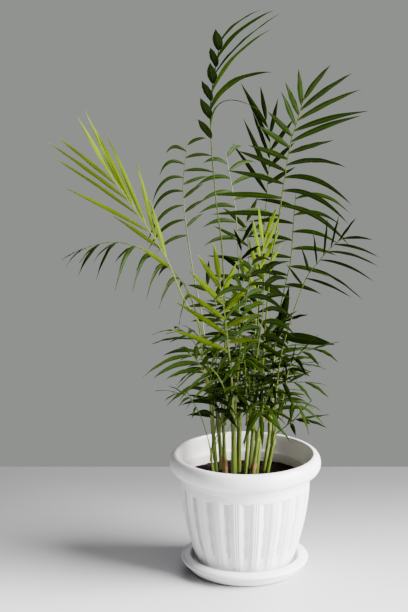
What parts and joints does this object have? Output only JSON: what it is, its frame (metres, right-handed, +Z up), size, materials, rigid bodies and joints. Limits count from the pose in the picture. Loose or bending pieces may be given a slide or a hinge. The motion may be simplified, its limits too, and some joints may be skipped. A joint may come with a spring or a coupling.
{
  "type": "potted parlour palm",
  "caption": "Young parlour palm with feather-shaped fronds on short canes, in a fluted plastic pot that stands on its saucer.",
  "frame": {"origin": "centre of the saucer's flat underside, on the pot's axis", "axes": "+Z up along the pot's axis; -Y towards the front of the plant"},
  "size_m": [0.3299, 0.2601, 0.5931],
  "materials": {
    "pot_plastic": "white moulded plastic with a soft satin sheen, slightly translucent at the rim",
    "soil": "moist dark peat, crumbly and matt",
    "cane": "pale yellow-green stem with fine lengthwise fibres and thin brown old sheaths",
    "frond": "dark green leaf with a waxy satin sheen and fine parallel veins",
    "young_frond": "fresh yellow-green leaf, thinner and more see-through, with fine parallel veins"
  },
  "bodies": {
    "root": {"saucer": "pot_plastic", "pot": "pot_plastic", "soil": "soil", "cane_far_left": "cane", "cane_thin_left": "cane", "cane_left_back": "cane", "cane_left": "cane", "cane_left_front": "cane", "cane_centre_back": "cane", "cane_centre": "cane", "cane_back": "cane", "cane_right": "cane", "cane_right_back": "cane", "cane_far_right": "cane", "cane_front": "cane", "frond_top": "frond", "frond_upper_right": "frond", "frond_young_left": "young_frond", "frond_arching_left": "frond", "frond_back_left": "frond", "frond_back_right": "frond", "frond_right": "frond", "frond_far_right": "frond", "frond_middle": "frond", "frond_young_front": "young_frond", "frond_low_left": "frond", "frond_thin_left": "frond", "frond_left": "frond", "frond_low_right": "frond", "frond_front_right": "frond", "frond_rim_right": "frond", "frond_bifid_right": "frond", "frond_front_left": "frond", "frond_front": "frond", "frond_centre_front": "frond", "frond_spear": "young_frond", "frond_hanging_front": "frond", "frond_back": "frond", "frond_right_behind": "frond", "frond_left_behind": "frond", "frond_centre_back": "frond", "frond_high_front": "frond", "frond_low_centre": "frond", "frond_low_front_right": "frond", "frond_low_back_right": "frond", "frond_low_back_left": "frond", "frond_dark_left": "frond", "frond_short_right": "frond"}
  },
  "joints": []
}
